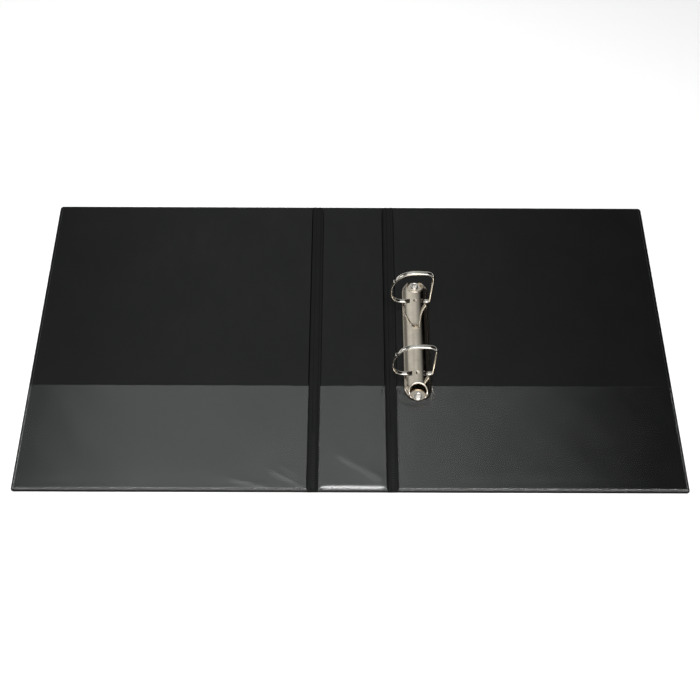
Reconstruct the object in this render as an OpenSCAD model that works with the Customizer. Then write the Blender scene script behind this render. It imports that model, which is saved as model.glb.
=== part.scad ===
// Two-ring A4 presentation binder, lying open and flat with its inside up.
// X runs from the front cover to the back cover, Y towards the top of the sheets, Z up.
// The origin is under the middle of the open binder, on the surface it lies on.

/* [Covers] */
// Height of the covers and the spine
cover_h = 315; // [310:1:325]
// Width of the front cover
front_w = 250; // [240:1:265]
// Width of the back cover
back_w = 246; // [240:1:265]
// Width of the spine
spine_w = 59; // [58:1:70]
// Width of each flexible hinge strip
strip_w = 9; // [8:0.5:12]
// Radius of the four free corners
corner_r = 3; // [1:0.5:6]
// Thickness of the stiffening boards
board_t = 2.1; // [1.8:0.1:2.6]
// Thickness of the outer and of the inner vinyl sheet
skin_t = 0.35; // [0.25:0.05:0.5]
// Width of the weld around the outside of a board
weld_w = 2.2; // [1.5:0.1:3]

/* [Pockets] */
// Height of the clear pockets, from the bottom edge
pocket_h = 104.5; // [95:0.5:115]
// Thickness of the clear film
film_t = 0.2; // [0.1:0.05:0.3]
// Room inside an empty pocket
pocket_gap = 0.4; // [0.2:0.1:1]

/* [Ring mechanism] */
// Distance between the two rings, as paper is punched
ring_pitch = 80; // [80]
// Middle of the mechanism, from the back cover's hinge edge
mech_inset = 19.3; // [19:0.1:22]
// Middle of the mechanism, above the middle of the cover
mech_y = -3.2; // [-5:0.1:5]
// Height of the cover plate above the lining
plate_rise = 7; // [7:0.1:8]
// Radius of the crown along the plate
crown_r = 24; // [22:1:60]
// Radius of the plate's long shoulders
shoulder_r = 1.6; // [1.2:0.1:2]
// Thickness of the plate's steel
plate_t = 0.9; // [0.8:0.1:1]
// Distance between the two rivets
rivet_pitch = 121.6; // [120:0.1:123]
// Radius of the round seat at each end
seat_r = 8.4; // [8:0.1:8.6]
// Width of the flat ring wire, along the mechanism
wire_w = 4; // [3.6:0.1:4.2]
// Thickness of the flat ring wire
wire_t = 2.2; // [2:0.1:2.4]

/* [Motion] */
// Tilt of the closed blades below level
closed_tilt = 4.5; // [4:0.1:5]

/* [Hidden] */
$fn = 96;

// Layers of a cover, from the table up
board_z = skin_t;
lining_z = board_z + board_t;
cover_t = lining_z + skin_t;
strip_t = 2 * skin_t;

// Edges of the spine and the covers along X
spine_x = (front_w - back_w) / 2;
spine_l = spine_x - spine_w / 2;
spine_r = spine_x + spine_w / 2;
front_r = spine_l - strip_w;
front_l = front_r - front_w;
back_l = spine_r + strip_w;
back_r = back_l + back_w;
bottom_y = -cover_h / 2;

// The crease that each cover folds at lies just beside the spine
crease_gap = 0.3;
inner_weld_w = 1.2;

// Plate: the rolled edges hold the blades, the round ends follow the rolled edges
mech_x = back_l + mech_inset;
skirt_x = 10.9;
bead_r = 1.6;
pivot_x = 10.7;
groove_r = 0.9;
lip_t = 0.7;
lip_x = 9.1;
plate_half_w = pivot_x + bead_r;
end_y = 53;
seat_y = 58;
slot_x = 4.9;
slot_w = wire_w + 0.8;
slot_z = 3.2;
dimple_r = 5;
dimple_depth = 0.4;

// Blades
blade_t = 0.8;
blade_edge_r = 0.6;
blade_l = 10.5;
blade_half_h = 47;
stub_x = 8;

// Rivets
rivet_r = 2.5;
rivet_bore_r = 1.9;
rivet_flange_r = 4.2;
rivet_head_r = 4.5;
rivet_roll_r = 0.85;
washer_t = 0.3;
head_t = 0.35;
floor_gap = 0.05;

// Points on an arc about c, from angle a0 to angle a1
function arc(c, r, a0, a1, n) = [
    for (i = [0 : n]) let (a = a0 + (a1 - a0) * i / n) [c[0] + r * cos(a), c[1] + r * sin(a)]
];
function mirrored(points) = [for (i = [len(points) - 1 : -1 : 0]) [-points[i][0], points[i][1]]];

// Right half of the plate's section: crown, shoulder, skirt and rolled edge, then back up inside
shoulder_x = skirt_x - shoulder_r;
crown_y = plate_rise - crown_r;
shoulder_y = crown_y + sqrt(pow(crown_r - shoulder_r, 2) - pow(shoulder_x, 2));
crown_end = acos(shoulder_x / (crown_r - shoulder_r));
skirt_in_x = skirt_x - plate_t;
plate_outer = concat(
    arc([0, crown_y], crown_r, 90, crown_end + 1, 6),
    arc([shoulder_x, shoulder_y], shoulder_r, crown_end, 0, 7),
    arc([pivot_x, bead_r], bead_r, acos((skirt_x - pivot_x) / bead_r), -90, 10)
);
plate_inner = concat(
    [[lip_x, 0], [lip_x, lip_t]],
    arc([pivot_x, bead_r], groove_r, -90, acos((skirt_in_x - pivot_x) / groove_r), 10),
    arc([shoulder_x, shoulder_y], shoulder_r - plate_t, 0, crown_end, 5),
    arc([0, crown_y], crown_r - plate_t, crown_end + 1, 90, 6)
);
plate_half = concat(plate_outer, plate_inner);

// Ring: one path from the left blade to the right blade, seen from the bottom of the binder.
// A step is [0, length] or [radius, angle]; a minus radius turns away from the ring's inside.
join_gap = 0.3;
stub_z = 3.5 - cover_t;
stub_l = 3.1;
bend_r = 2.2;
left_ring = [
    [0, stub_l], [-bend_r, 90], [0, 2.6],
    [9, 55], [15.5, 35], [0, 4.5], [28, 28]
];
right_ring_top = [[28, 12], [19, 50], [75, 8], [7.5, 85]];
heel = [2.8, 87];
right_foot = [[-bend_r, 90], [0, stub_l]];

// The wire's section in steps of [share of its thickness, share of its width]
wire_steps = [[1, 0.55], [0.85, 0.8], [0.5, 1]];

// A pose is [x, y, heading]
function turn_side(r) = r < 0 ? -1 : 1;
function arc_centre(p, r) = [p[0] + r * sin(p[2]), p[1] - r * cos(p[2])];
function arc_end(c, r, heading) = [c[0] - r * sin(heading), c[1] + r * cos(heading), heading];
function after(p, s) = s[0] == 0
    ? [p[0] + s[1] * cos(p[2]), p[1] + s[1] * sin(p[2]), p[2]]
    : arc_end(arc_centre(p, s[0]), s[0], p[2] - turn_side(s[0]) * s[1]);
function along(p, path, n) = n == 0 ? p : after(along(p, path, n - 1), path[n - 1]);
function path_end(p, path) = along(p, path, len(path));

// Poses along a path, one every 8 degrees or less on its arcs
function poses(p, path) = concat(
    [for (i = [0 : len(path) - 1])
        let (s = path[i], q = along(p, path, i), n = s[0] == 0 ? 1 : ceil(s[1] / 8))
            for (k = [0 : n - 1]) after(q, [s[0], s[1] * k / n])],
    [path_end(p, path)]
);
function beside(q, d) = [q[0] - d * sin(q[2]), q[1] + d * cos(q[2])];
function band(p, path, half) = let (line = poses(p, path)) concat(
    [for (q = line) beside(q, half)],
    [for (i = [len(line) - 1 : -1 : 0]) beside(line[i], -half)]
);

// The leg and the right foot are as long as it takes to end at the right blade's stub
ring_start = [-stub_x, stub_z, 90];
join = path_end(ring_start, left_ring);
right_start = after(join, [0, join_gap]);
leg_top = path_end(right_start, right_ring_top);
unclosed = path_end(leg_top, concat([heel], right_foot));
leg_l = (stub_z - unclosed[1]) / sin(leg_top[2]);
foot_l = unclosed[0] + leg_l * cos(leg_top[2]) - stub_x;
right_ring = concat(right_ring_top, [[0, leg_l], heel, [0, foot_l]], right_foot);

// ---- Shared shapes ----

// Flat outline from x0 to x1, with round corners on the left or the right side only
module outline(x0, x1, y0, y1, r_left, r_right) {
    translate([x0 + r_left, y0])
        square([x1 - x0 - r_left - r_right, y1 - y0]);
    translate([x0, y0 + r_left])
        square([r_left + 1, y1 - y0 - 2 * r_left]);
    translate([x1 - r_right - 1, y0 + r_right])
        square([r_right + 1, y1 - y0 - 2 * r_right]);
    for (y = [y0 + r_left, y1 - r_left])
        translate([x0 + r_left, y]) circle(r_left);
    for (y = [y0 + r_right, y1 - r_right])
        translate([x1 - r_right, y]) circle(r_right);
}

// One layer of a cover: its outline, pulled in from the free edges and from the hinge edges
module layer(cover, free_in, hinge_in, z, t) {
    x0 = cover[0] + (cover[2] > 0 ? free_in : hinge_in);
    x1 = cover[1] - (cover[3] > 0 ? free_in : hinge_in);
    r_left = max(0.3, cover[2] - free_in);
    r_right = max(0.3, cover[3] - free_in);
    y0 = bottom_y + free_in;
    translate([0, 0, z])
        linear_extrude(t)
            outline(x0, x1, y0, -y0, r_left, r_right);
}

// Covers as [left edge, right edge, left corner radius, right corner radius]
front = [front_l, front_r, corner_r, 0];
spine = [spine_l, spine_r, 0, 0];
back = [back_l, back_r, 0, corner_r];

module outer_skin(cover) {
    layer(cover, 0, 0, 0, skin_t);
}

module board(cover) {
    layer(cover, weld_w, inner_weld_w, board_z, board_t);
}

// The lining lies over the board and comes down to the weld around it
module inner_skin(cover) {
    difference() {
        union() {
            layer(cover, 0, 0, board_z, skin_t);
            layer(cover, weld_w - skin_t, inner_weld_w - skin_t, board_z, board_t + skin_t);
        }
        layer(cover, weld_w, inner_weld_w, board_z - 1, board_t + 1);
    }
}

// A clear film over the lower part of the lining, closed at the bottom and at the sides
module pocket(cover) {
    inner = skin_t + 0.05;
    outer = inner + film_t;
    intersection() {
        difference() {
            union() {
                layer(cover, 0, 0, strip_t, film_t);
                layer(cover, weld_w - outer, inner_weld_w - outer, strip_t,
                      cover_t - strip_t + pocket_gap + film_t);
            }
            layer(cover, weld_w - inner, inner_weld_w - inner, strip_t - 1,
                  cover_t - strip_t + pocket_gap + 1);
        }
        translate([cover[0], bottom_y, 0])
            cube([cover[1] - cover[0], pocket_h, 2 * cover_t]);
    }
}

module at_mechanism() {
    translate([mech_x, mech_y, cover_t]) children();
}

module at_rivets() {
    translate([mech_x, mech_y, 0])
        for (side = [-1, 1])
            translate([0, side * rivet_pitch / 2, 0]) children();
}

module rivet_holes(r) {
    at_rivets() translate([0, 0, -1]) cylinder(r = r, h = cover_t + 2);
}

// ---- Cover plate ----

// A bar with round ends: the section runs along the plate and turns about each end
module round_ended(section, half) {
    rotate([90, 0, 0])
        linear_extrude(2 * end_y, center = true) polygon(section);
    for (side = [0, 1])
        mirror([0, side, 0])
            translate([0, end_y, 0])
                rotate_extrude(angle = 180) polygon(half);
}

module at_seats() {
    for (side = [-1, 1])
        translate([0, side * seat_y, 0]) children();
}

// Round wall and floor of the seat at each end, kept within the plate's outline
module seats() {
    intersection() {
        at_seats() cylinder(r = seat_r, h = plate_rise);
        round_ended(concat(plate_outer, mirrored(plate_outer)), concat(plate_outer, [[0, 0]]));
    }
}

module ring_slots() {
    for (y = [-ring_pitch / 2, ring_pitch / 2], side = [0, 1])
        mirror([side, 0, 0])
            translate([slot_x, y - slot_w / 2, slot_z])
                cube([plate_half_w, slot_w, plate_rise]);
}

module dimples() {
    for (y = [-ring_pitch / 2, ring_pitch / 2])
        translate([0, y, plate_rise - dimple_depth + dimple_r]) sphere(dimple_r);
}

// ---- Rings ----

// A half ring from pose p along a path: bands of wire, the thinner the wider, stand for its round edges
module half_ring(y, p, path) {
    at_mechanism()
        translate([0, y, 0])
            rotate([90, 0, 0])
                for (step = wire_steps)
                    linear_extrude(step[1] * wire_w, center = true)
                        polygon(band(p, path, step[0] * wire_t / 2));
}

module left_half_ring(y) {
    half_ring(y, ring_start, left_ring);
}

module right_half_ring(y) {
    half_ring(y, right_start, right_ring);
}

// A blade on the left of the mechanism: its round edge turns in the plate's rolled edge
module blade() {
    at_mechanism()
        difference() {
            translate([-pivot_x, 0, bead_r])
                rotate([0, closed_tilt, 0]) {
                    translate([0, -blade_half_h, -blade_t / 2])
                        cube([blade_l, 2 * blade_half_h, blade_t]);
                    translate([0, blade_half_h, 0])
                        rotate([90, 0, 0])
                            cylinder(r = blade_edge_r, h = 2 * blade_half_h);
                }
            for (y = [-ring_pitch / 2, ring_pitch / 2])
                translate([-stub_x - wire_t / 2, y - wire_w / 2, -1])
                    cube([wire_t, wire_w, plate_rise]);
        }
}

module across_mechanism() {
    translate([2 * mech_x, 0, 0]) mirror([1, 0, 0]) children();
}

// ---- Back cover ----

module back_outer_skin() {
    color([0.10, 0.10, 0.10])
        difference() {
            outer_skin(back);
            rivet_holes(rivet_head_r + 0.1);
        }
}

module back_board() {
    color([0.45, 0.42, 0.38])
        difference() {
            board(back);
            rivet_holes(rivet_r + 0.1);
            at_rivets() cylinder(r = rivet_head_r + 0.1, h = floor_gap + head_t + washer_t);
        }
}

module back_inner_skin() {
    color([0.13, 0.13, 0.13])
        difference() {
            inner_skin(back);
            rivet_holes(rivet_r + 0.1);
        }
}

// The pocket's top edge goes round the low end of the cover plate
module back_pocket() {
    color([0.30, 0.31, 0.30])
        difference() {
            pocket(back);
            translate([mech_x, mech_y - end_y, strip_t]) {
                cylinder(r = plate_half_w + 0.4, h = 2 * cover_t);
                translate([-plate_half_w - 0.4, 0, 0])
                    cube([2 * plate_half_w + 0.8, end_y, 2 * cover_t]);
            }
        }
}

module back_hinge_strip() {
    color([0.08, 0.08, 0.08])
        translate([spine_r + crease_gap, bottom_y, 0])
            cube([strip_w - crease_gap, cover_h, strip_t]);
}

module cover_plate() {
    color([0.78, 0.76, 0.72])
        at_mechanism()
            difference() {
                union() {
                    round_ended(concat(plate_half, mirrored(plate_half)), plate_half);
                    seats();
                }
                at_seats() translate([0, 0, plate_t]) cylinder(r = seat_r - plate_t, h = plate_rise);
                for (side = [-1, 1])
                    translate([0, side * rivet_pitch / 2, -1]) cylinder(r = rivet_r + 0.1, h = plate_rise);
                ring_slots();
                dimples();
            }
}

// Hollow rivet: a flat head in the outer sheet and a rolled flange on the plate's seat
module rivets() {
    seat_top = cover_t + plate_t;
    color([0.80, 0.78, 0.74])
        at_rivets()
            rotate_extrude() {
                translate([rivet_bore_r, floor_gap])
                    square([rivet_head_r - rivet_bore_r, head_t]);
                translate([rivet_bore_r, floor_gap])
                    square([rivet_r - rivet_bore_r, seat_top - floor_gap + rivet_roll_r]);
                translate([rivet_bore_r, seat_top])
                    square([rivet_flange_r - rivet_bore_r, head_t]);
                translate([rivet_bore_r + rivet_roll_r, seat_top + rivet_roll_r])
                    circle(rivet_roll_r);
            }
}

module rivet_washers() {
    color([0.70, 0.69, 0.66])
        at_rivets()
            translate([0, 0, floor_gap + head_t])
                difference() {
                    cylinder(r = rivet_head_r, h = washer_t);
                    translate([0, 0, -1]) cylinder(r = rivet_r, h = washer_t + 2);
                }
}

// ---- Spine ----

module spine_outer_skin() {
    color([0.10, 0.10, 0.10]) outer_skin(spine);
}

module spine_board() {
    color([0.45, 0.42, 0.38]) board(spine);
}

module spine_inner_skin() {
    color([0.13, 0.14, 0.14]) inner_skin(spine);
}

module spine_pocket() {
    color([0.28, 0.29, 0.29]) pocket(spine);
}

// ---- Front cover ----

module front_outer_skin() {
    color([0.10, 0.10, 0.10]) outer_skin(front);
}

module front_board() {
    color([0.45, 0.42, 0.38]) board(front);
}

module front_inner_skin() {
    color([0.14, 0.14, 0.14]) inner_skin(front);
}

module front_pocket() {
    color([0.31, 0.32, 0.31]) pocket(front);
}

module front_hinge_strip() {
    color([0.08, 0.08, 0.08])
        translate([front_r, bottom_y, 0])
            cube([strip_w - crease_gap, cover_h, strip_t]);
}

// ---- Blades and rings ----

module left_blade() {
    color([0.62, 0.62, 0.60]) blade();
}

module upper_ring_left() {
    color([0.80, 0.79, 0.76]) left_half_ring(ring_pitch / 2);
}

module lower_ring_left() {
    color([0.80, 0.79, 0.76]) left_half_ring(-ring_pitch / 2);
}

module right_blade() {
    color([0.62, 0.62, 0.60]) across_mechanism() blade();
}

module upper_ring_right() {
    color([0.80, 0.79, 0.76]) right_half_ring(ring_pitch / 2);
}

module lower_ring_right() {
    color([0.80, 0.79, 0.76]) right_half_ring(-ring_pitch / 2);
}

back_outer_skin();
back_board();
back_inner_skin();
back_pocket();
back_hinge_strip();
cover_plate();
rivets();
rivet_washers();
spine_outer_skin();
spine_board();
spine_inner_skin();
spine_pocket();
front_outer_skin();
front_board();
front_inner_skin();
front_pocket();
front_hinge_strip();
left_blade();
upper_ring_left();
lower_ring_left();
right_blade();
upper_ring_right();
lower_ring_right();
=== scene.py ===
"""Looks of an A4 two-ring presentation binder, lying open and flat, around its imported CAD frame.

Lengths are in metres in the part's own frame: +X runs from the front cover to the back cover,
+Y towards the top of the sheets and +Z up. Places and sizes come from the frame's boxes.
"""

import math
from types import SimpleNamespace

import bmesh
import bpy
import numpy as np
from mathutils import Matrix, Vector


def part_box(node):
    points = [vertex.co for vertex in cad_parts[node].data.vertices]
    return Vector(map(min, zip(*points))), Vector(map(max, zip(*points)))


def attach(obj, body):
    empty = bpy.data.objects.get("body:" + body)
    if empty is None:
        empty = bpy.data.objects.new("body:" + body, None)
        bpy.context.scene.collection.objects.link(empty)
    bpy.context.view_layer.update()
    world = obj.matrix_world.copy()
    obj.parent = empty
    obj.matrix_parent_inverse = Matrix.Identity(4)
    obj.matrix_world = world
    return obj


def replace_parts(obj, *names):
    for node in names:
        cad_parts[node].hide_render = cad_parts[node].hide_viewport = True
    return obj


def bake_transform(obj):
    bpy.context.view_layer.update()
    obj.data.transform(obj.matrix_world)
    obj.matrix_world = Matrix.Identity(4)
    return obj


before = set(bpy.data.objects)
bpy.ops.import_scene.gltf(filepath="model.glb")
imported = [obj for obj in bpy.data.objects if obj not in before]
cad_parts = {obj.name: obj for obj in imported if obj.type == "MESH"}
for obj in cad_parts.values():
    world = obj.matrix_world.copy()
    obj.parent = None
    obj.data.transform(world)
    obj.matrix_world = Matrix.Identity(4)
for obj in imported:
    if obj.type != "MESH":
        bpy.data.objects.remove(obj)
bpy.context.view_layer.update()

MM = 0.001
scene = bpy.context.scene

# ---- Materials ----


class Shader:
    """A new node material: its Principled node, and short ways to add nodes to it."""

    def __init__(self, name, **settings):
        self.material = bpy.data.materials.new(name)
        self.material.use_nodes = True
        self.tree = self.material.node_tree
        self.principled = self.tree.nodes["Principled BSDF"]
        for socket, value in settings.items():
            self.principled.inputs[socket.replace("_", " ")].default_value = value
        self.place = self.add("ShaderNodeTexCoord").outputs["Object"]

    def add(self, kind, links=None, **settings):
        """Adds a node. links says what feeds its inputs: another node's output, or a value."""
        node = self.tree.nodes.new(kind)
        for key, value in settings.items():
            setattr(node, key, value)
        for key, value in (links or {}).items():
            if isinstance(value, bpy.types.NodeSocket):
                self.tree.links.new(value, node.inputs[key])
            else:
                node.inputs[key].default_value = value
        return node

    def drive(self, socket, output):
        self.tree.links.new(output, self.principled.inputs[socket])

    def noise(self, size, detail=2.0, stretch=(1, 1, 1), roughness=0.5):
        """A cloudy pattern from 0 to 1 whose blotches are about size metres across."""
        scaled = self.add("ShaderNodeMapping", {"Vector": self.place, "Scale": stretch})
        links = {"Vector": scaled.outputs[0], "Scale": 1 / size, "Detail": detail, "Roughness": roughness}
        return self.add("ShaderNodeTexNoise", links).outputs["Fac"]

    def cells(self, size):
        """The distance from the middle of cells about size metres across."""
        links = {"Vector": self.place, "Scale": 1 / size}
        return self.add("ShaderNodeTexVoronoi", links).outputs["Distance"]

    def span(self, value, low, high):
        """Spreads a cloudy pattern's middle range over low to high."""
        links = {"Value": value, "From Min": 0.3, "From Max": 0.7, "To Min": low, "To Max": high}
        return self.add("ShaderNodeMapRange", links).outputs["Result"]

    def mix(self, value, first, second):
        """Blends two colours as value goes from 0 to 1."""
        links = {0: value, 6: (*first, 1), 7: (*second, 1)}
        return self.add("ShaderNodeMix", links, data_type="RGBA").outputs[2]

    def bump(self, height, depth, strength, under=None):
        links = {"Height": height, "Distance": depth, "Strength": strength}
        if under is not None:
            links["Normal"] = under
        return self.add("ShaderNodeBump", links).outputs["Normal"]


def vinyl(name, dark, light, roughness, specular, grain):
    """Matt embossed vinyl: a fine leather grain, faint clouds in its colour and polish, fine scuffs."""
    shader = Shader(name, Specular_IOR_Level=specular)
    clouds = shader.noise(60 * MM, 3)
    scuffs = shader.noise(9 * MM, 4, stretch=(1, 0.35, 1), roughness=0.65)
    both = shader.add("ShaderNodeMath", {0: clouds, 1: scuffs}, operation="MULTIPLY").outputs[0]
    spread = shader.add(
        "ShaderNodeMapRange", {"Value": both, "From Min": 0.12, "From Max": 0.4}
    ).outputs["Result"]
    shader.drive("Base Color", shader.mix(spread, dark, light))
    shader.drive("Roughness", shader.span(scuffs, roughness + 0.04, roughness - 0.05))
    leather = shader.bump(shader.cells(0.55 * MM), 0.03 * MM, grain)
    pores = shader.bump(shader.noise(0.22 * MM, 2), 0.012 * MM, grain, under=leather)
    shader.drive("Normal", pores)
    return shader.material


def clear_film():
    """Clear glossy pocket film with a faint haze and soft ripples."""
    shader = Shader("clear_film", Base_Color=(0.93, 0.95, 0.94, 1), Transmission_Weight=1.0, IOR=1.5)
    haze = shader.noise(22 * MM, 4, roughness=0.6)
    shader.drive("Roughness", shader.span(haze, 0.06, 0.13))
    shader.drive("Normal", shader.bump(shader.noise(14 * MM, 2), 0.03 * MM, 0.25))
    return shader.material


def plating(name, colour, smooth, rough, wear):
    """Bright nickel plating: a little cloudy, with faint polishing lines and rubbed patches."""
    shader = Shader(name, Metallic=1.0)
    clouds = shader.noise(7 * MM, 4, roughness=0.6)
    dull = tuple(0.86 * c for c in colour)
    shader.drive("Base Color", shader.mix(shader.span(clouds, 0, wear), colour, dull))
    shader.drive("Roughness", shader.span(clouds, smooth, rough))
    waves = shader.bump(shader.noise(5 * MM, 1), 0.02 * MM, 0.2)
    lines = shader.noise(0.35 * MM, 2, stretch=(1, 0.06, 1))
    shader.drive("Normal", shader.bump(lines, 0.003 * MM, 0.25, under=waves))
    return shader.material


def rolled_steel():
    """Plain sheet steel with rolling marks along the blade."""
    shader = Shader("rolled_steel", Metallic=1.0)
    marks = shader.noise(0.5 * MM, 3, stretch=(1, 0.03, 1))
    spots = shader.noise(4 * MM, 4)
    shader.drive("Base Color", shader.mix(shader.span(spots, 0, 1), (0.44, 0.43, 0.41), (0.30, 0.29, 0.28)))
    shader.drive("Roughness", shader.span(marks, 0.28, 0.45))
    shader.drive("Normal", shader.bump(marks, 0.01 * MM, 0.4))
    return shader.material


def greyboard():
    """Pressed grey board with flecks and short fibres."""
    shader = Shader("greyboard", Roughness=0.9)
    fibres = shader.noise(0.8 * MM, 5, stretch=(1, 0.3, 1), roughness=0.7)
    colour = shader.mix(shader.span(fibres, 0, 1), (0.20, 0.18, 0.15), (0.11, 0.10, 0.085))
    shader.drive("Base Color", colour)
    shader.drive("Normal", shader.bump(fibres, 0.05 * MM, 0.6))
    return shader.material


LINING = vinyl(
    "lining_vinyl", dark=(0.0034, 0.0038, 0.0036), light=(0.0050, 0.0054, 0.0051),
    roughness=0.35, specular=0.20, grain=0.30,
)
CASE = vinyl(
    "case_vinyl", dark=(0.0070, 0.0073, 0.0071), light=(0.0110, 0.0113, 0.0108),
    roughness=0.42, specular=0.40, grain=0.55,
)
HINGE = vinyl(
    "hinge_vinyl", dark=(0.0024, 0.0027, 0.0026), light=(0.0042, 0.0045, 0.0043),
    roughness=0.44, specular=0.15, grain=0.40,
)
FILM = clear_film()
PLATE_CHROME = plating("plate_nickel", colour=(0.71, 0.63, 0.53), smooth=0.07, rough=0.15, wear=1.0)
RING_CHROME = plating("ring_nickel", colour=(0.63, 0.605, 0.555), smooth=0.06, rough=0.12, wear=0.7)
RIVET_CHROME = plating("rivet_nickel", colour=(0.84, 0.81, 0.76), smooth=0.08, rough=0.16, wear=1.0)
STEEL = rolled_steel()
BOARD = greyboard()

# ---- Meshes ----


def new_piece(name, points, faces, material=None, body=None, slot=None, sharp=40):
    """A piece from its points and faces, smooth but for edges sharper than sharp degrees."""
    mesh = bpy.data.meshes.new(name)
    mesh.from_pydata(points, [], faces)
    if material is not None:
        mesh.materials.append(material)
    mesh.shade_smooth()
    mesh.set_sharp_from_angle(angle=math.radians(sharp))
    piece = bpy.data.objects.new(name, mesh)
    scene.collection.objects.link(piece)
    if body is not None:
        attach(piece, body)
    return piece


def slab(x, y, top, bottom):
    """Points and faces of a closed sheet over a grid of places, between two heights at each."""
    rows, columns = x.shape
    points = np.concatenate([np.stack([x, y, z], -1).reshape(-1, 3) for z in (top, bottom)])
    index = np.arange(rows * columns).reshape(rows, columns)
    corners = [index[:-1, :-1], index[:-1, 1:], index[1:, 1:], index[1:, :-1]]
    upper = np.stack(corners, -1).reshape(-1, 4)
    lower = upper[:, ::-1] + index.size
    rim = np.concatenate([index[0, :-1], index[:-1, -1], index[-1, :0:-1], index[:0:-1, 0]])
    ahead = np.roll(rim, -1)
    walls = np.stack([rim + index.size, ahead + index.size, ahead, rim], -1)
    return points.tolist(), np.concatenate([upper, lower, walls]).tolist()


def revolved(loops):
    """Faces that join each closed loop of points to the next one, with a cap at both ends."""
    count = len(loops[0])
    points = [p for loop in loops for p in loop]
    faces = []
    for i in range(len(loops) - 1):
        for k in range(count):
            here, ahead = i * count + k, i * count + (k + 1) % count
            faces.append((here, ahead, ahead + count, here + count))
    faces.append(tuple(range(count))[::-1])
    faces.append(tuple(range(len(points) - count, len(points))))
    return points, faces


def cylinder(x, y, z0, z1, radius, sides=96):
    """Points and faces of an upright cylinder."""
    turns = [2 * math.pi * k / sides for k in range(sides)]
    ring = [(x + radius * math.cos(a), y + radius * math.sin(a)) for a in turns]
    return revolved([[(u, v, z) for u, v in ring] for z in (z0, z1)])


def box_shape(low, high):
    """Points and faces of a box."""
    (x0, y0, z0), (x1, y1, z1) = low, high
    base = [(x0, y0), (x1, y0), (x1, y1), (x0, y1)]
    return revolved([[(x, y, z) for x, y in base] for z in (z0, z1)])


def finished(work):
    """Points and faces of a finished bmesh, which is then freed."""
    shape = [tuple(v.co) for v in work.verts], [[v.index for v in f.verts] for f in work.faces]
    work.free()
    return shape


def mesh_shape(piece):
    """A piece's points and faces, in the part's frame."""
    mesh = piece.data
    return [tuple(v.co) for v in mesh.vertices], [list(f.vertices) for f in mesh.polygons]


def combine(piece, shape, operation):
    """Adds, cuts or intersects a piece with a shape of points and faces."""
    tool = new_piece("tool", *shape)
    modifier = piece.modifiers.new("combine", "BOOLEAN")
    modifier.operation = operation
    modifier.solver = "EXACT"
    modifier.object = tool
    apply_modifiers(piece)
    bpy.data.objects.remove(tool)


def apply_modifiers(piece):
    """Makes a piece's modifiers part of its mesh."""
    graph = bpy.context.evaluated_depsgraph_get()
    mesh = bpy.data.meshes.new_from_object(piece.evaluated_get(graph))
    piece.modifiers.clear()
    piece.data = mesh


def tidy_edges(piece, sharp=35, merge=1e-6):
    """Merges points that a cut left together, and shades the piece smooth up to sharp degrees."""
    work = bmesh.new()
    work.from_mesh(piece.data)
    bmesh.ops.remove_doubles(work, verts=work.verts, dist=merge)
    bmesh.ops.dissolve_degenerate(work, edges=work.edges, dist=merge)
    work.to_mesh(piece.data)
    work.free()
    piece.data.shade_smooth()
    piece.data.set_sharp_from_angle(angle=math.radians(sharp))


# ---- Places from the frame ----

plate_low, plate_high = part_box("cover_plate")
MECHANISM = Vector(((plate_low.x + plate_high.x) / 2, (plate_low.y + plate_high.y) / 2, plate_low.z))
PLATE_HALF = (plate_high.x - plate_low.x) / 2
PLATE_RISE = plate_high.z - plate_low.z
END_Y = (plate_high.y - plate_low.y) / 2 - PLATE_HALF
LINING_Z = plate_low.z
WELD_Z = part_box("back_hinge_strip")[1].z
SKIN = WELD_Z / 2
POCKET_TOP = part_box("spine_pocket")[1].y
CORNER_R = 3 * MM

# How far a board's weld is narrower on a hinge side than on a free side
HINGE_SHIFT = 1.7 * MM


def cover(name, body, free_left, free_right):
    """One cover's outline, which of its sides are free, and the names that go with it."""
    low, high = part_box(name + "_outer_skin")
    return SimpleNamespace(
        name=name, body=body, free_left=free_left, free_right=free_right,
        shifts=[0 if free else HINGE_SHIFT for free in (free_left, free_right)],
        x0=low.x, x1=high.x, y0=low.y, y1=high.y,
    )


COVERS = [
    cover("front", "front_cover", True, False),
    cover("spine", "spine", False, False),
    cover("back", "back_cover", False, True),
]

RIVET_HEAD_R = 4.5 * MM
RIVET_Y = (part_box("rivets")[1].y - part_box("rivets")[0].y) / 2 - RIVET_HEAD_R
RIVET_BORE = 2.6 * MM
RIVET_HEAD_BORE = 4.6 * MM


def bore(piece, radius, low, high):
    """Cuts a round hole through a piece at each rivet."""
    for side in (-1, 1):
        hole = cylinder(MECHANISM.x, MECHANISM.y + side * RIVET_Y, low, high, radius, sides=48)
        combine(piece, hole, "DIFFERENCE")


# ---- Covers ----


def ease(t):
    """A smooth step from 0 to 1."""
    t = np.clip(t, 0, 1)
    return t * t * (3 - 2 * t)


def hill(d, width):
    """A smooth hump of height 1 at d = 0."""
    return np.exp(-((d / width) ** 2))


def steps(start, end, step):
    """Even places from start up to, but not at, end."""
    return list(np.linspace(start, end, max(1, round((end - start) / step)), endpoint=False))


# Distances from a cut edge, close together where the weld and the board's edge are
EDGE_STEPS = [
    d * MM for d in (
        0, 0.08, 0.2, 0.4, 0.7, 0.9, 1.05, 1.2, 1.35, 1.5, 1.7, 1.9, 2.05, 2.2, 2.35, 2.5,
        2.65, 2.8, 2.95, 3.1, 3.3, 3.6, 4, 4.6, 5.4, 6.4, 7.6, 9, 10.5,
    )
]


def places_between(low, high, step, low_shift=0.0, high_shift=0.0, trim=0.0):
    """Grid places from low to high, dense at both edges.

    A shift or trim leaves out the weld's outer part.
    """
    first = [low + d - low_shift for d in EDGE_STEPS if d >= max(low_shift, trim)]
    last = [high - d + high_shift for d in EDGE_STEPS if d >= max(high_shift, trim)][::-1]
    return first + steps(first[-1], last[0], step)[1:] + last


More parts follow.
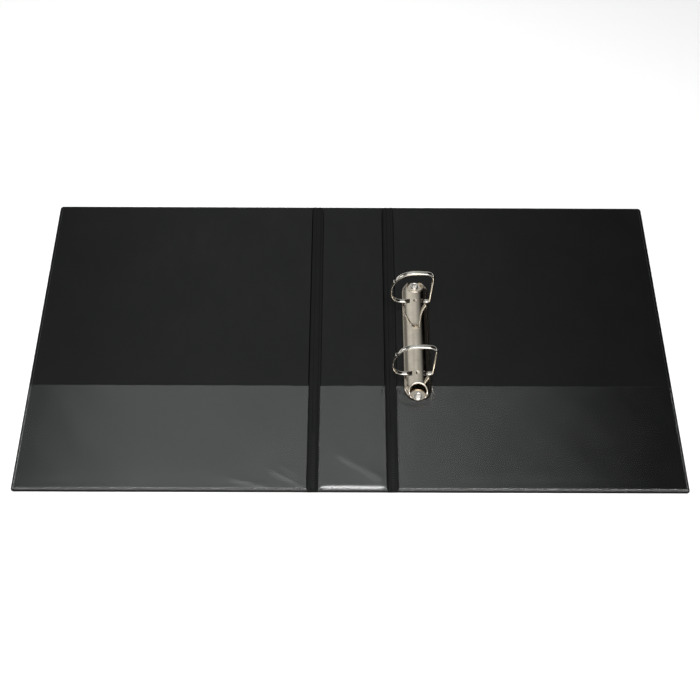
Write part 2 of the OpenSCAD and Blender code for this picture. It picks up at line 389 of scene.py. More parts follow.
def round_corners(x, y, c):
    """Moves the grid's square corners onto the cover's round free corners."""
    for free, edge, inward in ((c.free_left, c.x0, 1), (c.free_right, c.x1, -1)):
        if not free:
            continue
        for side, up in ((c.y0, 1), (c.y1, -1)):
            a = 1 - (x - edge) * inward / CORNER_R
            b = 1 - (y - side) * up / CORNER_R
            inside = (a > 0) & (b > 0)
            along = a * np.sqrt(np.maximum(0, 1 - b * b / 2))
            across = b * np.sqrt(np.maximum(0, 1 - a * a / 2))
            x = np.where(inside, edge + inward * CORNER_R * (1 - along), x)
            y = np.where(inside, side + up * CORNER_R * (1 - across), y)
    return x, y


def edge_distance(x, y, c):
    """Distance from the cover's cut edge, as if a hinge side's edge lay HINGE_SHIFT further out."""
    left = x - c.x0 + c.shifts[0]
    right = c.x1 - x + c.shifts[1]
    below, above = y - c.y0, c.y1 - y
    dx, dy = np.minimum(left, right), np.minimum(below, above)
    free = np.where(left < right, c.free_left, c.free_right)
    corner = free & (dx < CORNER_R) & (dy < CORNER_R)
    return np.where(corner, CORNER_R - np.hypot(CORNER_R - dx, CORNER_R - dy), np.minimum(dx, dy))


# A vinyl sheet's section from its cut edge inwards: the round edge, the weld line's place, and where
# the lining climbs from the weld to the top of the board
EDGE_ROUND = 0.25 * MM
WELD_LINE = 1.2 * MM
CLIMB_START = 1.9 * MM
CLIMB = 1.2 * MM

# The spine's board is worn round at its bottom end, where the lining climbs a short step, then eases off
WORN_STEP = 0.66 * MM
WORN_CLIMB = 4.6 * MM


def lining_height(c, x, y, s):
    """Top of the lining at distance s from the edge: cut edge, weld line, board edge, soft top."""
    climb = LINING_Z - WELD_Z
    rise = climb * ease((s - CLIMB_START) / CLIMB)
    if c.name == "spine":
        along = np.clip((s - CLIMB_START - 0.35 * MM) / WORN_CLIMB, 0, 1)
        step = WORN_STEP * ease((s - CLIMB_START) / (0.6 * MM))
        worn_rise = step + (climb - WORN_STEP) * along * (2 - along)
        side = np.minimum(x - c.x0, c.x1 - x) + HINGE_SHIFT
        worn = ease((side - y + c.y0) / (4 * MM)) * (y < 0)
        rise = rise * (1 - worn) + worn_rise * worn
    z = WELD_Z - 0.28 * MM * (1 - np.sqrt(np.clip(s / EDGE_ROUND, 0, 1)))
    z -= 0.13 * MM * hill(s - WELD_LINE, 0.22 * MM)
    z += rise
    level = 0.3 * np.sin(x / (31 * MM) + 0.7) * np.sin(y / (43 * MM))
    slanted = 0.2 * np.sin((x + 2 * y) / (57 * MM))
    return z - 0.06 * MM * (0.5 + level + slanted) * ease((s - 3 * MM) / (14 * MM))


def cover_grid(c, y_places, step):
    """A grid over the cover, its corners rounded, with the distance from the edge at each place."""
    xs = places_between(c.x0, c.x1, step, *c.shifts)
    x, y = round_corners(*np.meshgrid(xs, y_places), c)
    return x, y, edge_distance(x, y, c)


def lining(c):
    """The inner vinyl over the board, welded down all round."""
    x, y, s = cover_grid(c, places_between(c.y0, c.y1, 5 * MM), 5 * MM)
    top = lining_height(c, x, y, s)
    bottom = np.maximum(SKIN, top - SKIN)
    piece = new_piece(c.name + "_lining", *slab(x, y, top, bottom), LINING, c.body, "vinyl")
    if c.name == "back":
        bore(piece, RIVET_BORE, 0, 2 * LINING_Z)
    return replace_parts(piece, c.name + "_inner_skin")


def outer_sheet(c):
    """The outer vinyl: flat on the table, with a soft cut edge and the weld line round the board."""
    x, y, s = cover_grid(c, places_between(c.y0, c.y1, 6 * MM), 6 * MM)
    bottom = 0.16 * MM * (1 - np.sqrt(np.clip(s / EDGE_ROUND, 0, 1)))
    bottom += 0.14 * MM * hill(s - 2.3 * MM, 0.35 * MM)
    piece = new_piece(c.name + "_case", *slab(x, y, np.full_like(x, SKIN), bottom), CASE, c.body, "vinyl")
    if c.name == "back":
        bore(piece, RIVET_HEAD_BORE, -LINING_Z, LINING_Z)
    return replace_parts(piece, c.name + "_outer_skin")


def board(c):
    """The stiff board between the two sheets, its edges a little rounded."""
    inset = CLIMB_START + 0.45 * MM
    left, right = [inset - shift for shift in c.shifts]
    rounding = [d * MM for d in (0, 0.15, 0.4, 0.7, 1.1, 1.7, 2.4, 3.2, 4.2, 6)]
    xs = [c.x0 + left + d for d in rounding] + [c.x1 - right - d for d in rounding[::-1]]
    ys = [c.y0 + inset + d for d in rounding] + [c.y1 - inset - d for d in rounding[::-1]]
    x, y = np.meshgrid(xs, ys)
    top = np.minimum(lining_height(c, x, y, edge_distance(x, y, c)) - SKIN, LINING_Z - SKIN - 0.07 * MM)
    bottom = np.full_like(x, SKIN)
    piece = new_piece(c.name + "_greyboard", *slab(x, y, top, bottom), BOARD, c.body, "greyboard")
    if c.name == "back":
        bore(piece, RIVET_BORE, 0, 2 * LINING_Z)
        bore(piece, RIVET_HEAD_BORE, 0, WELD_Z)
    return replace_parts(piece, c.name + "_board")


# ---- Pocket films ----

FILM_T = 0.15 * MM
FILM_GAP = 0.02 * MM

# The film is cut a little inside the cover's edge, which leaves the weld bare, and round the plate
FILM_TRIM = 1.5 * MM
PLATE_ROOM = 0.25 * MM

# The film's grid step across a cover, which is halved where the back cover's film folds beside the hinge
FILM_STEP = 1.4 * MM


def ripples(x, y):
    """Slack ripples in loose film, from -1 to 1."""
    wide = np.sin(x / (11 * MM) + 1.3 * np.sin(y / (19 * MM))) * np.sin(y / (13 * MM) + 0.4)
    long = np.sin((x * 0.55 + y) / (9.5 * MM) + 2.1 * np.sin(x / (40 * MM)))
    return 0.5 * wide + 0.5 * long * np.sin(x / (23 * MM) - 0.8)


def fold(x, y, start, end, height, width):
    """A straight crease ridge from start to end, fading out at both ends."""
    a, b = Vector(start), Vector(end)
    run = b - a
    t = ((x - a.x) * run.x + (y - a.y) * run.y) / run.length_squared
    off = ((x - a.x) * run.y - (y - a.y) * run.x) / run.length
    return height * (hill(off, width) * np.clip(t, 0, 1) ** 0.3 * ease((1 - t) * 3) * (t > 0))


def bottom_roll(c, x, y):
    """How far the film bulges over the board's bottom edge. The narrow spine pocket bulges most."""
    if c.name == "spine":
        height = (0.14 + 0.08 * np.sin(x / (7 * MM) + 2.2)) * MM
        return height * hill(y - c.y0 - 5.6 * MM, 1.8 * MM)
    return 0.10 * MM * hill(y - c.y0 - 4.2 * MM, 2.4 * MM)


# Both ends of each fold in the front pocket: millimetres in from the hinge side and up from the bottom
FRONT_FOLDS = [((3.5, 4.5), (38, 25)), ((33, 4.5), (70, 13)), ((4, 13), (30, 28))]


def folds(c):
    """The folds in a cover's film: where each starts and ends, its height and its width."""
    if c.name == "spine":
        corner = c.x1 - 3.5 * MM
        small = (corner, POCKET_TOP), (corner - 3.2 * MM, POCKET_TOP - 13 * MM)
        band = (c.x1 - 2 * MM, c.y0 + 11 * MM), (c.x0 + 8 * MM, c.y0 + 42 * MM)
        return [(*small, 0.75 * MM, 1.1 * MM), (*band, 0.68 * MM, 4.4 * MM)]
    if c.name == "back":
        corner = c.x0 + 2.5 * MM
        small = (corner, POCKET_TOP), (corner + 6.0 * MM, POCKET_TOP - 14 * MM)
        return [(*small, 0.75 * MM, 1.1 * MM)]
    ends = [[(c.x1 - inwards * MM, c.y0 + up * MM) for inwards, up in pair] for pair in FRONT_FOLDS]
    return [(*pair, 0.5 * MM, 2.6 * MM) for pair in ends]


def film_slack(c, x, y, s):
    """Room under the film at each place: ripples, bulges at the board's edge and the mouth, and folds."""
    loose = ease((s - 3 * MM) / (16 * MM))
    slack = FILM_GAP + loose * (0.18 * MM + 0.15 * MM * ripples(x, y))
    slack += bottom_roll(c, x, y)
    slack += 0.10 * MM * hill(y - POCKET_TOP, 2.5 * MM) * loose
    for start, end, height, width in folds(c):
        slack += fold(x, y, start, end, height, width)
    return slack


def plate_distance(x, y):
    """Distance from the cover plate's round-ended outline."""
    reach = np.maximum(0, np.abs(y - MECHANISM.y) - END_Y)
    return np.hypot(x - MECHANISM.x, reach) - PLATE_HALF


def plate_outline_shape(half, z0, z1):
    """An upright solid with a round-ended outline like the cover plate's. half is half its width."""
    outline = []
    for turn, sign in ((0, 1), (math.pi, -1)):
        end_y = MECHANISM.y + sign * END_Y
        for k in range(49):
            a = turn + math.pi * k / 48
            outline.append((MECHANISM.x + half * math.cos(a), end_y + half * math.sin(a)))
    return revolved([[(x, y, z) for x, y in outline] for z in (z0, z1)])


def film_height(c, x, y):
    """Height of the film's underside at each place. It lies close to the lining round the plate."""
    s = edge_distance(x, y, c)
    slack = film_slack(c, x, y, s)
    if c.name == "back":
        near = ease(plate_distance(x, y) / (24 * MM))
        slack = slack * near + FILM_GAP * (1 - near)
    return np.maximum(lining_height(c, x, y, s), lining_height(c, x, y, s + 0.6 * MM)) + slack


def pocket(c):
    """Clear film over the lower part of a cover, welded on three sides and open at the top."""
    low = [c.y0 + d for d in EDGE_STEPS if d >= FILM_TRIM]
    fine = POCKET_TOP - 16 * MM
    ys = low + steps(low[-1], fine, 2.2 * MM)[1:] + steps(fine, POCKET_TOP, 0.8 * MM) + [POCKET_TOP]
    xs = places_between(c.x0, c.x1, FILM_STEP, *c.shifts, trim=FILM_TRIM)
    if c.name == "back":
        start, end = c.x0 + 2.3 * MM, c.x0 + 40 * MM
        before, after = [v for v in xs if v < start], [v for v in xs if v >= end]
        xs = before + steps(start, end, FILM_STEP / 2) + after
    x, y = round_corners(*np.meshgrid(xs, ys), c)
    flat = slab(x, y, np.full_like(x, FILM_T), np.zeros_like(x))
    piece = new_piece(c.name + "_film", *flat, FILM, c.body, "film")
    # Light passes straight through the film, so the vinyl under it is lit once
    piece.visible_shadow = False
    piece.visible_diffuse = False
    piece.visible_glossy = False
    if c.name == "back":
        combine(piece, plate_outline_shape(PLATE_HALF + PLATE_ROOM, -LINING_Z, LINING_Z), "DIFFERENCE")
    places = np.array([v.co for v in piece.data.vertices])
    places[:, 2] += film_height(c, places[:, 0], places[:, 1])
    piece.data.vertices.foreach_set("co", places.ravel())
    tidy_edges(piece, sharp=60)
    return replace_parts(piece, c.name + "_pocket")


# ---- Hinges ----

CREASE = 0.15 * MM

# Distances from the spine's edge across a strip, close together at the crease and the far weld line
NEAR_STEPS = [
    d * MM for d in (
        0, 0.03, 0.06, 0.09, 0.12, 0.15, 0.18, 0.21, 0.24, 0.27, 0.3, 0.4, 0.55, 0.75, 1, 1.4, 1.9, 2.5,
    )
]
FAR_STEPS = [d * MM for d in (6.4, 6.9, 7.3, 7.6, 7.9, 8.2, 8.5, 8.75)]

# Rows along a strip, fine enough for its ribs, and the relief pressed into its weld
STRIP_ROWS = 631
WELD_DEPTH = 0.20 * MM
RELIEF = 0.26 * MM
RIB_PITCH = 2.4 * MM
DOT_PITCH = 3.0 * MM


def hinge(name, spine_edge, cover_edge):
    """The flexible strip between the spine and a cover: creases, and a weld with pressed ribs."""
    outward = 1 if cover_edge > spine_edge else -1
    width = abs(cover_edge - spine_edge)
    across = NEAR_STEPS + steps(3.0 * MM, 6.4 * MM, 0.28 * MM) + FAR_STEPS + [width]
    low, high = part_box(name + "_hinge_strip")
    ys = np.linspace(low.y, high.y, STRIP_ROWS)
    t, y = np.meshgrid(across, ys)
    top = WELD_Z - 0.32 * MM * hill(t - 0.9 * MM, 0.8 * MM) - 0.05 * MM * hill(t, 0.2 * MM)
    top -= 0.06 * MM * hill(t - 7.9 * MM, 0.5 * MM)
    weld = ease((t - 3.1 * MM) / (0.5 * MM)) * ease((6.2 * MM - t) / (0.5 * MM))
    top -= WELD_DEPTH * weld
    up = y - low.y
    ribs = 0.5 + 0.5 * np.sin(2 * math.pi * up / RIB_PITCH)
    dots = np.maximum(0, np.sin(2 * math.pi * up / DOT_PITCH)) * hill(t - 4.6 * MM, 0.8 * MM)
    ribbed = ease((62 * MM - up) / (6 * MM)) * ease((up - 3 * MM) / (3 * MM))
    dotted = ease((up - 80 * MM) / (4 * MM)) * ease((106 * MM - up) / (2 * MM))
    top += weld * RELIEF * (ribbed * ribs + dotted * dots)
    bottom = 0.12 * MM * hill(t - CREASE, 0.35 * MM) + 0.06 * MM * weld
    x = spine_edge + outward * t
    if outward < 0:
        x, y, top, bottom = x[:, ::-1], y[:, ::-1], top[:, ::-1], bottom[:, ::-1]
    piece = new_piece(name + "_hinge", *slab(x, y, top, bottom), HINGE, sharp=70)
    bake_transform(piece)
    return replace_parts(piece, name + "_hinge_strip")


# ---- Cover plate ----

# The plate's section, and its seats, ring slots, rolled rims and dimples
BEAD_R = 1.6 * MM
GROOVE_R = 0.9 * MM
PLATE_T = 0.9 * MM
CROWN_R = 24 * MM
SHOULDER_R = 1.6 * MM
SKIRT_X = 10.9 * MM
LIP_X = 9.1 * MM
LIP_T = 0.7 * MM
SEAT_R = 8.4 * MM
SEAT_Y = 58 * MM
SLOT_X = 4.9 * MM
SLOT_W = 4.8 * MM
SLOT_Z = 3.2 * MM
RIM_R = 0.9 * MM
RIM_SINK = 0.5 * MM
RIM_STEPS = 96
RIM_SIDES = 12
SEAT_INSET = 0.04 * MM
HOLLOW_ROOM = 0.3 * MM
DIMPLE_R = 5 * MM
DIMPLE_RISE = 4.6 * MM
EDGE_BEVEL = 0.14 * MM
MERGE = 1e-7

# Where the section's arcs have their centres and meet, and the rings' distance from the middle
PIVOT_X = PLATE_HALF - BEAD_R
SHOULDER_X = SKIRT_X - SHOULDER_R
CROWN_Z = PLATE_RISE - CROWN_R
SHOULDER_Z = CROWN_Z + math.sqrt((CROWN_R - SHOULDER_R) ** 2 - SHOULDER_X**2)
SHOULDER_TURN = math.degrees(math.acos(SHOULDER_X / (CROWN_R - SHOULDER_R)))
RING_Y = (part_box("upper_ring_left")[0].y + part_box("upper_ring_left")[1].y) / 2 - MECHANISM.y


def arc(centre, radius, first, last, count):
    """Points on an arc, angles in degrees."""
    turns = [math.radians(first + (last - first) * k / count) for k in range(count + 1)]
    return [(centre[0] + radius * math.cos(a), centre[1] + radius * math.sin(a)) for a in turns]


def outer_profile(inset=0.0):
    """Half of the plate's outside: crown, shoulder, skirt and rolled edge. inset shrinks it."""
    meet = math.degrees(math.acos((SKIRT_X - PIVOT_X) / BEAD_R))
    return (
        arc((0, CROWN_Z), CROWN_R - inset, 90, SHOULDER_TURN, 16)
        + arc((SHOULDER_X, SHOULDER_Z), SHOULDER_R - inset, SHOULDER_TURN, 0, 14)[1:]
        + arc((PIVOT_X, BEAD_R), BEAD_R - inset, meet, -90, 18)
    )


def inner_profile():
    """Half of the plate's inside, from the rolled edge's lip up to the crown."""
    meet = math.degrees(math.acos((SKIRT_X - PLATE_T - PIVOT_X) / GROOVE_R))
    return (
        [(LIP_X, 0), (LIP_X, LIP_T)]
        + arc((PIVOT_X, BEAD_R), GROOVE_R, -90, meet, 12)
        + arc((SHOULDER_X, SHOULDER_Z), SHOULDER_R - PLATE_T, 0, SHOULDER_TURN, 10)
        + arc((0, CROWN_Z), CROWN_R - PLATE_T, SHOULDER_TURN, 90, 12)[1:]
    )


def stations():
    """Stops round a round-ended bar: the centre's place along Y, and the direction outwards."""
    straight = np.linspace(END_Y, -END_Y, 55)[1:-1]
    turns = [math.pi * k / 64 for k in range(65)]
    there = [(END_Y, a) for a in turns] + [(y, math.pi) for y in straight]
    back = [(-END_Y, math.pi + a) for a in turns] + [(-y, 0.0) for y in straight]
    return there + back


def round_ended(profile):
    """Points and faces of a bar with the half profile down both sides and round both ends."""
    loops = []
    for along, a in stations():
        centre = MECHANISM + Vector((0, along, 0))
        loops.append([centre + Vector((r * math.cos(a), r * math.sin(a), z)) for r, z in profile])
    count = len(profile)
    points = [p for loop in loops for p in loop]
    faces = []
    for i in range(len(loops)):
        j = (i + 1) % len(loops)
        for k in range(count - 1):
            faces.append((i * count + k, j * count + k, j * count + k + 1, i * count + k + 1)[::-1])
    work = bmesh.new()
    verts = [work.verts.new(p) for p in points]
    for f in faces:
        work.faces.new([verts[v] for v in f])
    bmesh.ops.remove_doubles(work, verts=work.verts, dist=MERGE)
    bmesh.ops.dissolve_degenerate(work, edges=work.edges, dist=MERGE)
    bmesh.ops.recalc_face_normals(work, faces=work.faces)
    work.verts.ensure_lookup_table()
    work.verts.index_update()
    return finished(work)


def sphere(centre, radius, segments=32):
    """Points and faces of a ball."""
    work = bmesh.new()
    bmesh.ops.create_uvsphere(
        work, u_segments=segments, v_segments=segments, radius=radius, matrix=Matrix.Translation(centre)
    )
    return finished(work)


def arch_height(x, y):
    """Height of the plate's outside above the lining, at a place measured from its middle."""
    reach = max(0.0, abs(y) - END_Y)
    r = math.hypot(x, reach)
    outline = outer_profile()
    heights = [z for (a, z), (b, _) in zip(outline, outline[1:]) if a <= r <= b or b <= r <= a]
    return max(heights) if heights else 0.0


def seat_rim(side):
    """The rolled rim where the plate's arch meets the round seat. It tapers at both ends."""
    radius = SEAT_R - PLATE_T / 2
    path = []
    for k in range(RIM_STEPS + 1):
        a = math.radians(-225 + 270 * k / RIM_STEPS)
        x, y = radius * math.cos(a), SEAT_Y + radius * math.sin(a)
        z = arch_height(x, y)
        if z > BEAD_R:
            path.append(MECHANISM + Vector((x, side * y, z - RIM_SINK)))
    loops = []
    for i, p in enumerate(path):
        ahead = path[min(i + 1, len(path) - 1)] - path[max(i - 1, 0)]
        turn = ahead.to_track_quat("Z", "Y")
        size = RIM_R * min(1.0, 0.35 + 0.3 * min(i, len(path) - 1 - i))
        turns = [2 * math.pi * k / RIM_SIDES for k in range(RIM_SIDES)]
        loops.append([p + turn @ Vector((size * math.cos(b), size * math.sin(b), 0)) for b in turns])
    return revolved(loops)


def add_seat(plate, side):
    """Joins a round seat to the plate, a little inside the arch's outline."""
    y = MECHANISM.y + side * SEAT_Y
    column = cylinder(MECHANISM.x, y, LINING_Z, LINING_Z + PLATE_RISE, SEAT_R)
    seat = new_piece("seat", *column, PLATE_CHROME)
    combine(seat, round_ended(outer_profile(SEAT_INSET) + [(0, 0.0)]), "INTERSECT")
    combine(plate, mesh_shape(seat), "UNION")
    bpy.data.objects.remove(seat)


def cut_seat(plate, side, top):
    """Sinks the seat to a floor of plate thickness and bores its rivet hole."""
    y = MECHANISM.y + side * SEAT_Y
    combine(plate, cylinder(MECHANISM.x, y, LINING_Z + PLATE_T, top, SEAT_R - PLATE_T), "DIFFERENCE")
    y = MECHANISM.y + side * RIVET_Y
    combine(plate, cylinder(MECHANISM.x, y, 0, top, RIVET_BORE, sides=48), "DIFFERENCE")


def cut_slots(plate, side, top):
    """Cuts the two slots that a ring passes through, and the dimple between them."""
    y = MECHANISM.y + side * RING_Y
    for left, right in ((-2 * PLATE_HALF, -SLOT_X), (SLOT_X, 2 * PLATE_HALF)):
        low = (MECHANISM.x + left, y - SLOT_W / 2, LINING_Z + SLOT_Z)
        combine(plate, box_shape(low, (MECHANISM.x + right, y + SLOT_W / 2, top)), "DIFFERENCE")
    ball = Vector((MECHANISM.x, y, LINING_Z + PLATE_RISE + DIMPLE_RISE))
    combine(plate, sphere(ball, DIMPLE_R), "DIFFERENCE")


def open_seat(plate, side, top):
    """Opens the seat's wall to the hollow under the arch."""
    hollow = new_piece("hollow", *round_ended(inner_profile()[::-1] + [(0, 0.0)]), PLATE_CHROME)
    y = MECHANISM.y + side * SEAT_Y
    room = cylinder(MECHANISM.x, y, LINING_Z + PLATE_T, top, SEAT_R + HOLLOW_ROOM)
    combine(hollow, room, "INTERSECT")
    combine(plate, mesh_shape(hollow), "DIFFERENCE")
    bpy.data.objects.remove(hollow)


def cover_plate():
    """The arched plate: rolled long edges, a round seat at each end, ring slots and dimples."""
    shell = round_ended(outer_profile() + inner_profile())
    plate = new_piece("ring_cover_plate", *shell, PLATE_CHROME)
    top = LINING_Z + 2 * PLATE_RISE
    for side in (-1, 1):
        add_seat(plate, side)
    for side in (-1, 1):
        cut_seat(plate, side, top)
        cut_slots(plate, side, top)
        open_seat(plate, side, top)
    bevel = plate.modifiers.new("soft_edges", "BEVEL")
    bevel.width = EDGE_BEVEL
    bevel.segments = 2
    bevel.limit_method = "ANGLE"
    bevel.angle_limit = math.radians(50)
    apply_modifiers(plate)
    tidy_edges(plate, sharp=20)
    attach(plate, "back_cover")
    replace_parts(plate, "cover_plate")
    for side, name in ((-1, "lower"), (1, "upper")):
        new_piece(name + "_seat_rim", *seat_rim(side), PLATE_CHROME, "back_cover", "chrome")


# ---- Rings ----

WIRE_W = 4 * MM
WIRE_T = 2.2 * MM
WIRE_SIDES = 28

# A ring half's path: [0, length] for a straight or [radius, angle] for an arc, in millimetres and degrees
BEND_R = 2.2
STUB = 3.1
LEFT_PATH = [[0, STUB], [-BEND_R, 90], [0, 2.6], [9, 55], [15.5, 35], [0, 4.5], [28, 28]]
RIGHT_TOP = [[28, 12], [19, 50], [75, 8], [7.5, 85]]
HEEL = [2.8, 87]
RIGHT_FOOT = [[-BEND_R, 90], [0, STUB]]
START = (-8.0, 0.7, 90.0)
JOIN_GAP = 0.3

# A tip's rounded length, and the wire's size at its very end
TIP = 0.18
TIP_SCALE = 0.86


def move(pose, step):
    """The pose (x, z, heading) at the end of a step."""
    x, z, heading = pose
    radius, amount = step
    a = math.radians(heading)
    if radius == 0:
        return (x + amount * math.cos(a), z + amount * math.sin(a), heading)
    cx, cz = x + radius * math.sin(a), z - radius * math.cos(a)
    turned = heading - math.copysign(amount, radius)
    b = math.radians(turned)
    return (cx - radius * math.sin(b), cz + radius * math.cos(b), turned)


def path_end(pose, path):
    """The pose at the end of a path."""
    for step in path:
        pose = move(pose, step)
    return pose


def path_poses(pose, path):
    """Poses along a path: one every 3 degrees on its arcs, and both ends of its straights."""
    poses = [pose]
    for radius, amount in path:
        count = 1 if radius == 0 else math.ceil(amount / 3)
        poses += [move(pose, (radius, amount * k / count)) for k in range(1, count + 1)]
        pose = poses[-1]
    return poses


def right_half():
    """The right half's first pose and its path: the leg and foot end at the right blade."""
    start = move(path_end(START, LEFT_PATH), (0, JOIN_GAP))
    leg_top = path_end(start, RIGHT_TOP)
    unclosed = path_end(leg_top, [HEEL] + RIGHT_FOOT)
    leg = (START[1] - unclosed[1]) / math.sin(math.radians(leg_top[2]))
    foot = unclosed[0] + leg * math.cos(math.radians(leg_top[2])) + START[0]
    return start, RIGHT_TOP + [[0, leg], HEEL, [0, foot]] + RIGHT_FOOT


def wire_section(scale=1.0):
    """The wire's flat oval section: places across its thickness and its width."""
    places = []
    for k in range(WIRE_SIDES):
        a = 2 * math.pi * k / WIRE_SIDES
        across = math.copysign(abs(math.cos(a)) ** 0.85, math.cos(a))
        along = math.copysign(abs(math.sin(a)) ** 0.75, math.sin(a))
        places.append((scale * across * WIRE_T / 2, scale * along * WIRE_W / 2))
    return places


def half_ring(name, side, body, start, path):
    """Half of a ring, bent from flat oval wire with a slightly rounded tip."""
    poses = path_poses(start, path)
    first, last = poses[0], poses[-1]
    full = [move(first, (0, TIP)), *poses[1:-1], move(last, (0, -TIP))]
    chain = [(first, TIP_SCALE)] + [(p, 1.0) for p in full] + [(last, TIP_SCALE)]
    loops = []
    for (x, z, heading), scale in chain:
        a = math.radians(heading)
        loop = []
        for across, along in wire_section(scale):
            out, up = x * MM - across * math.sin(a), z * MM + across * math.cos(a)
            loop.append(MECHANISM + Vector((out, side * RING_Y - along, up)))
        loops.append(loop)
    piece = new_piece(name + "_wire", *revolved(loops), RING_CHROME, body, "chrome", sharp=50)
    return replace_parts(piece, name)


def rings():
    """Both halves of both rings."""
    for side, name in ((1, "upper"), (-1, "lower")):
        half_ring(name + "_ring_left", side, "left_rings", START, LEFT_PATH)
        half_ring(name + "_ring_right", side, "right_rings", *right_half())


# ---- Stage ----

FLOOR_HALF = 1.8
FLOOR_Z = -0.1 * MM

# Name, place, size and power in watts of each light. All point at the binder's middle
LIGHTS = [
    ("overhead", (0.1, -0.55, 1.9), (1.3, 0.8), 26),
    ("front", (0, -1.5, 1.7), (3.0, 1.2), 29),
    ("left", (-1.6, 0.6, 1.0), (0.5, 1.2), 5),
]

# The panel's corners, and its brightness across X and along Y as (place, share) stops
PANEL_X = (-0.8, 0.6)
PANEL_Y = (-0.15, 1.0)
PANEL_Z = 0.6
PANEL_ACROSS = [
    (0.0, 0.0), (0.15, 0.22), (0.25, 0.26), (0.28, 0.36), (0.34, 0.80), (0.40, 0.87), (0.60, 0.82),
    (0.65, 0.64), (0.71, 0.47), (0.75, 0.38), (0.79, 0.20), (0.83, 0.05), (0.87, 0.0), (1.0, 0.0),
]
PANEL_ALONG = [(0.0, 1.0), (0.09, 1.0), (0.17, 0.4), (0.27, 0.38), (0.36, 0.344), (0.8, 0.344), (1.0, 0.08)]
PANEL_POWER = 2.5

# Pale walls: the axis they face, where they begin and are full along it, and their brightness
WALLS = [("Y", 0.0, -0.35, 0.45), ("X", -0.6, -0.9, 0.5), ("Y", 0.72, 0.9, 0.55)]
STUDIO_LIGHT = 0.02
WALL_SEEN = 0.95

# The camera's place in millimetres, the way it faces in degrees, and its lens in millimetres
CAMERA_PLACE = (-3.44, -625.14, 904.54)
CAMERA_TURN, CAMERA_DOWN, CAMERA_ROLL = 0.27, 55.88, 0.42
CAMERA_LENS = 61.71
CAMERA_SENSOR = 36


def floor():
    """A plain pale floor."""
    shader = Shader("floor", Base_Color=(0.93, 0.93, 0.93, 1), Roughness=0.9, Specular_IOR_Level=0.1)
    corners = ((-1, -1), (1, -1), (1, 1), (-1, 1))
    points = [(x * FLOOR_HALF, y * FLOOR_HALF, FLOOR_Z) for x, y in corners]
    piece = new_piece("floor", points, [(0, 1, 2, 3)], shader.material)


def area_light(name, place, size, power):
    """A rectangular light that points at the binder's middle."""
    lamp = bpy.data.lights.new(name, "AREA")
    lamp.shape = "RECTANGLE"
    lamp.size, lamp.size_y = size
    lamp.energy = power
    light = bpy.data.objects.new(name, lamp)
    light.location = place
    light.rotation_mode = "QUATERNION"
    light.rotation_quaternion = (Vector((0, 0, 0)) - Vector(place)).to_track_quat("-Z", "Y")
    scene.collection.objects.link(light)


def blended(shader, value, stops):
    """A value that passes through (place, strength) stops, straight from each to the next."""
    curve = shader.add("ShaderNodeFloatCurve", {"Value": value})
    points = curve.mapping.curves[0].points
    while len(points) < len(stops):
        points.new(0.5, 0.5)
    for point, place in zip(points, stops):
        point.location = place
        point.handle_type = "VECTOR"
    curve.mapping.update()
    return curve.outputs[0]


def panel():
    """A broad soft light above and behind the binder, which its flat faces mirror to the camera."""
    shader = Shader("panel", Base_Color=(0, 0, 0, 1), Specular_IOR_Level=0.0)
    place = shader.add("ShaderNodeSeparateXYZ", {0: shader.add("ShaderNodeTexCoord").outputs["Generated"]})
    across = blended(shader, place.outputs["X"], PANEL_ACROSS)
    along = blended(shader, place.outputs["Y"], PANEL_ALONG)
    clouds = shader.span(shader.noise(0.13, 1), 0.84, 1.16)
    strength = across
    for factor in (clouds, along, PANEL_POWER):
        strength = shader.add("ShaderNodeMath", {0: strength, 1: factor}, operation="MULTIPLY").outputs[0]
    shader.drive("Emission Strength", strength)
    shader.principled.inputs["Emission Color"].default_value = (0.965, 1, 0.985, 1)
    (x0, x1), (y0, y1), z = PANEL_X, PANEL_Y, PANEL_Z
    points = [(x0, y0, z), (x0, y1, z), (x1, y1, z), (x1, y0, z)]
    piece = new_piece("panel", points, [(0, 1, 2, 3)], shader.material)
    piece.visible_camera = False
    piece.visible_shadow = False


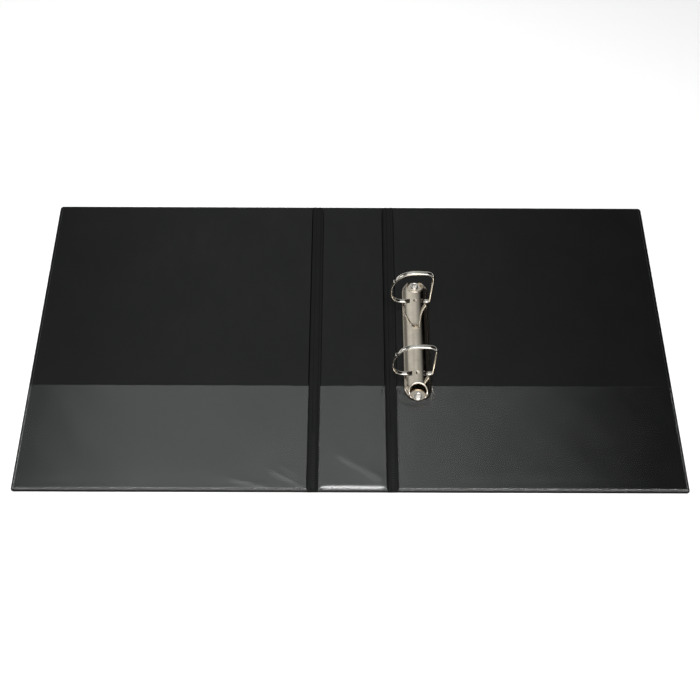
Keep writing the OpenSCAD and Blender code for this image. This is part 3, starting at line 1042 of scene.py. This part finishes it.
def surroundings():
    """A dim studio with pale walls in front, behind and on the left. The camera sees only pale walls."""
    world = bpy.data.worlds.new("studio")
    scene.world = world
    world.use_nodes = True
    tree = world.node_tree
    place = tree.nodes.new("ShaderNodeTexCoord").outputs["Generated"]
    split = tree.nodes.new("ShaderNodeSeparateXYZ")
    tree.links.new(place, split.inputs[0])
    bright = tree.nodes.new("ShaderNodeValue").outputs[0]
    bright.default_value = STUDIO_LIGHT
    for axis, start, end, strength in WALLS:
        wall = tree.nodes.new("ShaderNodeMapRange")
        tree.links.new(split.outputs[axis], wall.inputs["Value"])
        span = {"From Min": start, "From Max": end, "To Min": STUDIO_LIGHT, "To Max": strength}
        for name, value in span.items():
            wall.inputs[name].default_value = value
        brighter = tree.nodes.new("ShaderNodeMath")
        brighter.operation = "MAXIMUM"
        tree.links.new(bright, brighter.inputs[0])
        tree.links.new(wall.outputs[0], brighter.inputs[1])
        bright = brighter.outputs[0]
    seen = tree.nodes.new("ShaderNodeLightPath").outputs["Is Camera Ray"]
    blend = tree.nodes.new("ShaderNodeMix")
    tree.links.new(seen, blend.inputs[0])
    tree.links.new(bright, blend.inputs[2])
    blend.inputs[3].default_value = WALL_SEEN
    tree.links.new(blend.outputs[0], tree.nodes["Background"].inputs["Strength"])
    tree.nodes["Background"].inputs["Color"].default_value = (1, 0.99, 0.97, 1)


def camera():
    """A camera in front of the binder and above it, looking down at 56 degrees."""
    lens = bpy.data.cameras.new("camera")
    lens.lens = CAMERA_LENS
    lens.sensor_width = CAMERA_SENSOR
    lens.clip_start, lens.clip_end = 0.05, 20
    view = bpy.data.objects.new("camera", lens)
    turn, down, roll = (math.radians(a) for a in (CAMERA_TURN, CAMERA_DOWN, CAMERA_ROLL))
    ahead = Vector((math.sin(turn) * math.cos(down), math.cos(turn) * math.cos(down), -math.sin(down)))
    level = Vector((math.cos(turn), -math.sin(turn), 0))
    upright = level.cross(ahead)
    right = level * math.cos(roll) + upright * math.sin(roll)
    up = right.cross(ahead)
    facing = Matrix([[right[i], up[i], -ahead[i], 0] for i in range(3)] + [[0, 0, 0, 1]])
    view.matrix_world = Matrix.Translation([v * MM for v in CAMERA_PLACE]) @ facing
    scene.collection.objects.link(view)
    scene.camera = view


# ---- Build ----

for c in COVERS:
    outer_sheet(c)
    board(c)
    lining(c)
    pocket(c)
hinge("back", COVERS[1].x1, COVERS[2].x0)
hinge("front", COVERS[1].x0, COVERS[0].x1)
cover_plate()
rings()

# Parts shown as the frame's own solids
for node, material, slot in (
    ("rivets", RIVET_CHROME, "chrome"),
    ("rivet_washers", STEEL, "blade_steel"),
    ("left_blade", STEEL, "blade_steel"),
    ("right_blade", STEEL, "blade_steel"),
):
    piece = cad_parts[node]
    piece.data.materials.clear()
    piece.data.materials.append(material)

floor()
surroundings()
panel()
for light in LIGHTS:
    area_light(*light)
camera()
scene.view_settings.view_transform = "Standard"
